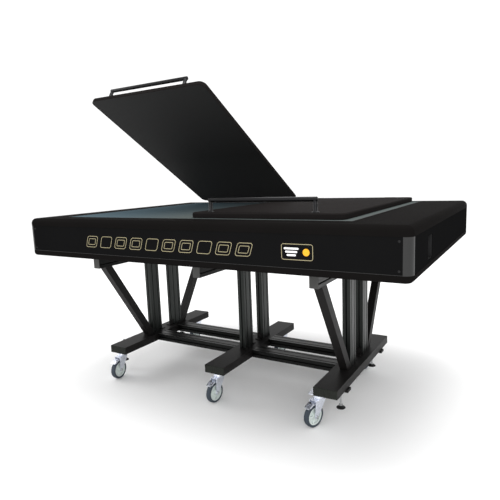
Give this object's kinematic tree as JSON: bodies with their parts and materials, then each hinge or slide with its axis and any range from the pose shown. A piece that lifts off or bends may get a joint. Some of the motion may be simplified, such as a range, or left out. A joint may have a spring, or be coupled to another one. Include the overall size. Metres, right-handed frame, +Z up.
{
  "type": "flatbed scanner",
  "caption": "Large flatbed scanner: low black housing with a glass bed, two rear-hinged lids with bar handles, on an extruded stand with casters.",
  "frame": {"origin": "on the floor under the middle of the housing", "axes": "+X right along the front, +Y from front to back, +Z up"},
  "size_m": [2.4, 1.684, 1.9484],
  "materials": {
    "panel_black": "satin",
    "surround_black": "satin",
    "post_grey": "satin",
    "bed_glass": "gloss",
    "lid_shell": "satin",
    "lid_pad": "gloss",
    "handle_bar": "satin",
    "hinge_steel": "satin",
    "profile_black": "anodised",
    "bar_cap": "matte",
    "caster_zinc": "polished",
    "tyre_grey": "matte",
    "foot_black": "matte",
    "socket_black": "matte",
    "rail_steel": "ground",
    "gantry_metal": "satin",
    "camera_case": "satin",
    "lamp_plastic": "satin",
    "belt_rubber": "matte",
    "board_green": "matte"
  },
  "bodies": {
    "scanner": {"bar_end_caps": "bar_cap", "base_pan": "panel_black", "bearing_blocks": "gantry_metal", "caster_plates": "caster_zinc", "columns": "profile_black", "connector_pocket": "socket_black", "control_board": "board_green", "corner_posts": "post_grey", "cross_beams": "profile_black", "diagonal_braces": "profile_black", "drive_belts": "belt_rubber", "drive_motor": "camera_case", "end_panels": "panel_black", "foot_bars": "profile_black", "foot_blocks": "profile_black", "front_panel": "panel_black", "glass_plate": "bed_glass", "guide_rails": "rail_steel", "hinge_blocks": "hinge_steel", "power_supply": "gantry_metal", "rear_panel": "panel_black", "stretchers": "profile_black", "top_surround": "surround_black"},
    "left_lid": {"left_lid": "lid_shell", "left_lid_pad": "lid_pad", "left_handle": "handle_bar", "left_hinge_straps": "hinge_steel"},
    "right_lid": {"right_lid": "lid_shell", "right_lid_pad": "lid_pad", "right_handle": "handle_bar", "right_hinge_straps": "hinge_steel"},
    "gantry": {"gantry_beam": "gantry_metal", "rail_trucks": "rail_steel", "camera_modules": "camera_case", "light_bars": "lamp_plastic"},
    "drive_shaft": {"drive_shaft": "rail_steel"},
    "idler_shaft": {"idler_shaft": "rail_steel"},
    "power_switch": {"power_switch": "socket_black"},
    "caster_fork_left_front": {"caster_fork_left_front": "caster_zinc"},
    "brake_pedal_left_front": {"brake_pedal_left_front": "caster_zinc"},
    "caster_wheel_left_front": {"caster_wheel_left_front": "tyre_grey"},
    "caster_fork_left_rear": {"caster_fork_left_rear": "caster_zinc"},
    "brake_pedal_left_rear": {"brake_pedal_left_rear": "caster_zinc"},
    "caster_wheel_left_rear": {"caster_wheel_left_rear": "tyre_grey"},
    "caster_fork_middle_front": {"caster_fork_middle_front": "caster_zinc"},
    "brake_pedal_middle_front": {"brake_pedal_middle_front": "caster_zinc"},
    "caster_wheel_middle_front": {"caster_wheel_middle_front": "tyre_grey"},
    "caster_fork_middle_rear": {"caster_fork_middle_rear": "caster_zinc"},
    "brake_pedal_middle_rear": {"brake_pedal_middle_rear": "caster_zinc"},
    "caster_wheel_middle_rear": {"caster_wheel_middle_rear": "tyre_grey"},
    "caster_fork_right_front": {"caster_fork_right_front": "caster_zinc"},
    "brake_pedal_right_front": {"brake_pedal_right_front": "caster_zinc"},
    "caster_wheel_right_front": {"caster_wheel_right_front": "tyre_grey"},
    "caster_fork_right_rear": {"caster_fork_right_rear": "caster_zinc"},
    "brake_pedal_right_rear": {"brake_pedal_right_rear": "caster_zinc"},
    "caster_wheel_right_rear": {"caster_wheel_right_rear": "tyre_grey"},
    "levelling_foot_left_front": {"levelling_foot_left_front": "foot_black"},
    "levelling_foot_left_rear": {"levelling_foot_left_rear": "foot_black"},
    "levelling_foot_right_front": {"levelling_foot_right_front": "foot_black"},
    "levelling_foot_right_rear": {"levelling_foot_right_rear": "foot_black"}
  },
  "joints": [
    {"name": "left_lid_hinge", "type": "hinge", "parent": "scanner", "child": "left_lid", "pos_m": [-0.503, 0.775, 1.149], "axis": [-1, 0, 0], "range_deg": [-30.9, 39.1]},
    {"name": "right_lid_hinge", "type": "hinge", "parent": "scanner", "child": "right_lid", "pos_m": [0.41, 0.775, 1.149], "axis": [-1, 0, 0], "range_deg": [0, 70]},
    {"name": "gantry_travel", "type": "slide", "parent": "scanner", "child": "gantry", "axis": [-1, 0, 0], "range_m": [0, 2]},
    {"name": "drive_shaft_spin", "type": "hinge", "parent": "scanner", "child": "drive_shaft", "pos_m": [1.16, 0, 0.92], "axis": [0, 1, 0], "continuous": true},
    {"name": "idler_shaft_spin", "type": "hinge", "parent": "scanner", "child": "idler_shaft", "pos_m": [-1.16, 0, 0.92], "axis": [0, 1, 0], "continuous": true},
    {"name": "power_rocker", "type": "hinge", "parent": "scanner", "child": "power_switch", "pos_m": [1.14, -0.449, 0.966], "axis": [0, 1, 0], "range_deg": [0, 14]},
    {"name": "caster_swivel_left_front", "type": "hinge", "parent": "scanner", "child": "caster_fork_left_front", "pos_m": [-0.831, -0.49, 0.172], "axis": [0, 0, 1], "continuous": true},
    {"name": "wheel_spin_left_front", "type": "hinge", "parent": "caster_fork_left_front", "child": "caster_wheel_left_front", "pos_m": [-0.82734, -0.53184, 0.0625], "axis": [0.9962, 0.0872, 0], "continuous": true},
    {"name": "pedal_release_left_front", "type": "hinge", "parent": "caster_fork_left_front", "child": "brake_pedal_left_front", "pos_m": [-0.82804, -0.52387, 0.136], "axis": [-0.9962, -0.0872, 0], "range_deg": [0, 12]},
    {"name": "caster_swivel_left_rear", "type": "hinge", "parent": "scanner", "child": "caster_fork_left_rear", "pos_m": [-0.831, 0.38, 0.172], "axis": [0, 0, 1], "continuous": true},
    {"name": "wheel_spin_left_rear", "type": "hinge", "parent": "caster_fork_left_rear", "child": "caster_wheel_left_rear", "pos_m": [-0.82734, 0.33816, 0.0625], "axis": [0.9962, 0.0872, 0], "continuous": true},
    {"name": "pedal_release_left_rear", "type": "hinge", "parent": "caster_fork_left_rear", "child": "brake_pedal_left_rear", "pos_m": [-0.82804, 0.34613, 0.136], "axis": [-0.9962, -0.0872, 0], "range_deg": [0, 12]},
    {"name": "caster_swivel_middle_front", "type": "hinge", "parent": "scanner", "child": "caster_fork_middle_front", "pos_m": [-0.015, -0.49, 0.172], "axis": [0, 0, 1], "continuous": true},
    {"name": "wheel_spin_middle_front", "type": "hinge", "parent": "caster_fork_middle_front", "child": "caster_wheel_middle_front", "pos_m": [-0.01939, -0.53177, 0.0625], "axis": [0.9945, -0.1045, 0], "continuous": true},
    {"name": "pedal_release_middle_front", "type": "hinge", "parent": "caster_fork_middle_front", "child": "brake_pedal_middle_front", "pos_m": [-0.01855, -0.52381, 0.136], "axis": [-0.9945, 0.1045, 0], "range_deg": [0, 12]},
    {"name": "caster_swivel_middle_rear", "type": "hinge", "parent": "scanner", "child": "caster_fork_middle_rear", "pos_m": [-0.015, 0.38, 0.172], "axis": [0, 0, 1], "continuous": true},
    {"name": "wheel_spin_middle_rear", "type": "hinge", "parent": "caster_fork_middle_rear", "child": "caster_wheel_middle_rear", "pos_m": [-0.01939, 0.33823, 0.0625], "axis": [0.9945, -0.1045, 0], "continuous": true},
    {"name": "pedal_release_middle_rear", "type": "hinge", "parent": "caster_fork_middle_rear", "child": "brake_pedal_middle_rear", "pos_m": [-0.01855, 0.34619, 0.136], "axis": [-0.9945, 0.1045, 0], "range_deg": [0, 12]},
    {"name": "caster_swivel_right_front", "type": "hinge", "parent": "scanner", "child": "caster_fork_right_front", "pos_m": [0.642, -0.49, 0.172], "axis": [0, 0, 1], "continuous": true},
    {"name": "wheel_spin_right_front", "type": "hinge", "parent": "caster_fork_right_front", "child": "caster_wheel_right_front", "pos_m": [0.62764, -0.52947, 0.0625], "axis": [0.9397, -0.342, 0], "continuous": true},
    {"name": "pedal_release_right_front", "type": "hinge", "parent": "caster_fork_right_front", "child": "brake_pedal_right_front", "pos_m": [0.63037, -0.52195, 0.136], "axis": [-0.9397, 0.342, 0], "range_deg": [0, 12]},
    {"name": "caster_swivel_right_rear", "type": "hinge", "parent": "scanner", "child": "caster_fork_right_rear", "pos_m": [0.642, 0.38, 0.172], "axis": [0, 0, 1], "continuous": true},
    {"name": "wheel_spin_right_rear", "type": "hinge", "parent": "caster_fork_right_rear", "child": "caster_wheel_right_rear", "pos_m": [0.62764, 0.34053, 0.0625], "axis": [0.9397, -0.342, 0], "continuous": true},
    {"name": "pedal_release_right_rear", "type": "hinge", "parent": "caster_fork_right_rear", "child": "brake_pedal_right_rear", "pos_m": [0.63037, 0.34805, 0.136], "axis": [-0.9397, 0.342, 0], "range_deg": [0, 12]},
    {"name": "foot_screw_left_front", "type": "slide", "parent": "scanner", "child": "levelling_foot_left_front", "axis": [0, 0, 1], "range_m": [-0.063, 0]},
    {"name": "foot_screw_left_rear", "type": "slide", "parent": "scanner", "child": "levelling_foot_left_rear", "axis": [0, 0, 1], "range_m": [-0.063, 0]},
    {"name": "foot_screw_right_front", "type": "slide", "parent": "scanner", "child": "levelling_foot_right_front", "axis": [0, 0, 1], "range_m": [-0.063, 0]},
    {"name": "foot_screw_right_rear", "type": "slide", "parent": "scanner", "child": "levelling_foot_right_rear", "axis": [0, 0, 1], "range_m": [-0.063, 0]}
  ],
  "couplings": [
    {"joint": "drive_shaft_spin", "follows": "gantry_travel", "rad_per_m": -57.471},
    {"joint": "idler_shaft_spin", "follows": "gantry_travel", "rad_per_m": -57.471}
  ]
}
